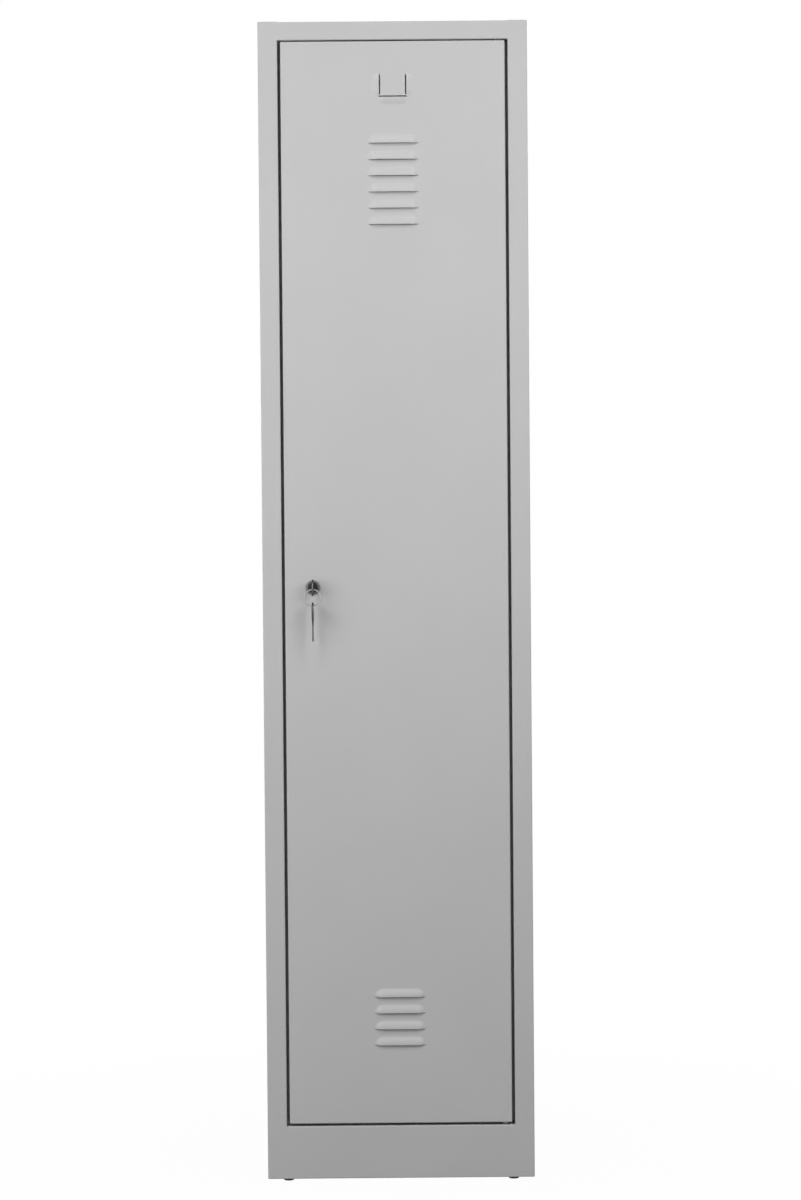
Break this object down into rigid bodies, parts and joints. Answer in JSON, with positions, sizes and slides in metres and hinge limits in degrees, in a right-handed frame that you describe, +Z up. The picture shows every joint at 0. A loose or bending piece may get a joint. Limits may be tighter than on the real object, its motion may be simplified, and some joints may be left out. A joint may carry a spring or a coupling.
{
  "type": "clothing locker",
  "caption": "Tall narrow steel clothing locker with a plain louvred door, card holder, key lock, hat shelf, hanging rail and low feet.",
  "frame": {"origin": "centre of the body's footprint, on the floor", "axes": "+X to the viewer's right, +Y to the back, +Z up"},
  "size_m": [0.415, 0.5413, 1.8],
  "materials": {
    "frame_paint": "satin",
    "door_paint": "satin",
    "zinc": "satin",
    "rail_chrome": "polished",
    "nickel": "polished",
    "ring_steel": "polished",
    "dark_metal": "gloss",
    "black_metal": "gloss",
    "nylon": "matte",
    "pad_plastic": "matte",
    "rubber": "matte"
  },
  "bodies": {
    "carcass": {"left_side_panel": "frame_paint", "right_side_panel": "frame_paint", "back_panel": "frame_paint", "top_panel": "frame_paint", "plinth": "frame_paint", "floor_pan": "frame_paint", "foot_plates": "zinc", "foot_nuts": "zinc", "hat_shelf": "frame_paint", "shelf_clips": "frame_paint", "hanging_rail": "rail_chrome", "rail_sockets": "zinc", "upper_bush": "nylon", "lower_bush": "nylon", "hinge_washer": "nickel", "door_buffers": "rubber"},
    "door": {"door_skin": "door_paint", "door_stiffener": "door_paint", "upper_hinge_bracket": "zinc", "lower_hinge_bracket": "zinc", "upper_hinge_pin": "zinc", "lower_hinge_pin": "zinc", "lock_body": "dark_metal", "lock_nut": "zinc"},
    "lock_barrel": {"lock_plug": "black_metal", "lock_cam": "zinc", "cam_washer": "zinc", "cam_screw": "zinc"},
    "key": {"key": "nickel"},
    "key_ring": {"key_ring": "ring_steel"},
    "spare_key": {"spare_key": "nickel"},
    "left_coat_hook": {"left_coat_hook": "zinc"},
    "right_coat_hook": {"right_coat_hook": "zinc"},
    "left_front_foot": {"left_front_pad": "pad_plastic", "left_front_stud": "zinc"},
    "right_front_foot": {"right_front_pad": "pad_plastic", "right_front_stud": "zinc"},
    "left_back_foot": {"left_back_pad": "pad_plastic", "left_back_stud": "zinc"},
    "right_back_foot": {"right_back_pad": "pad_plastic", "right_back_stud": "zinc"}
  },
  "joints": [
    {"name": "door_swing", "type": "hinge", "parent": "carcass", "child": "door", "pos_m": [0.163, -0.241, 0.931], "axis": [0, 0, 1], "range_deg": [0, 110]},
    {"name": "lock_turn", "type": "hinge", "parent": "door", "child": "lock_barrel", "pos_m": [-0.1295, -0.25, 0.928], "axis": [0, 1, 0], "range_deg": [0, 90]},
    {"name": "key_pull", "type": "slide", "parent": "lock_barrel", "child": "key", "axis": [0, -1, 0], "range_m": [0, 0.026]},
    {"name": "ring_swing", "type": "hinge", "parent": "key", "child": "key_ring", "pos_m": [-0.1295, -0.2788, 0.9252], "axis": [1, 0, 0], "range_deg": [-60, 12]},
    {"name": "spare_key_hang", "type": "hinge", "parent": "key_ring", "child": "spare_key", "pos_m": [-0.1295, -0.2788, 0.9127], "axis": [0, 1, 0], "range_deg": [-90, 0]},
    {"name": "left_coat_hook_slide", "type": "slide", "parent": "carcass", "child": "left_coat_hook", "axis": [1, 0, 0], "range_m": [-0.08, 0.06]},
    {"name": "right_coat_hook_slide", "type": "slide", "parent": "carcass", "child": "right_coat_hook", "axis": [1, 0, 0], "range_m": [-0.06, 0.08]},
    {"name": "left_front_foot_screw", "type": "slide", "parent": "carcass", "child": "left_front_foot", "axis": [0, 0, -1], "range_m": [0, 0.01]},
    {"name": "right_front_foot_screw", "type": "slide", "parent": "carcass", "child": "right_front_foot", "axis": [0, 0, -1], "range_m": [0, 0.01]},
    {"name": "left_back_foot_screw", "type": "slide", "parent": "carcass", "child": "left_back_foot", "axis": [0, 0, -1], "range_m": [0, 0.01]},
    {"name": "right_back_foot_screw", "type": "slide", "parent": "carcass", "child": "right_back_foot", "axis": [0, 0, -1], "range_m": [0, 0.01]}
  ],
  "couplings": [
    {"joint": "spare_key_hang", "follows": "lock_turn", "ratio": -1}
  ]
}
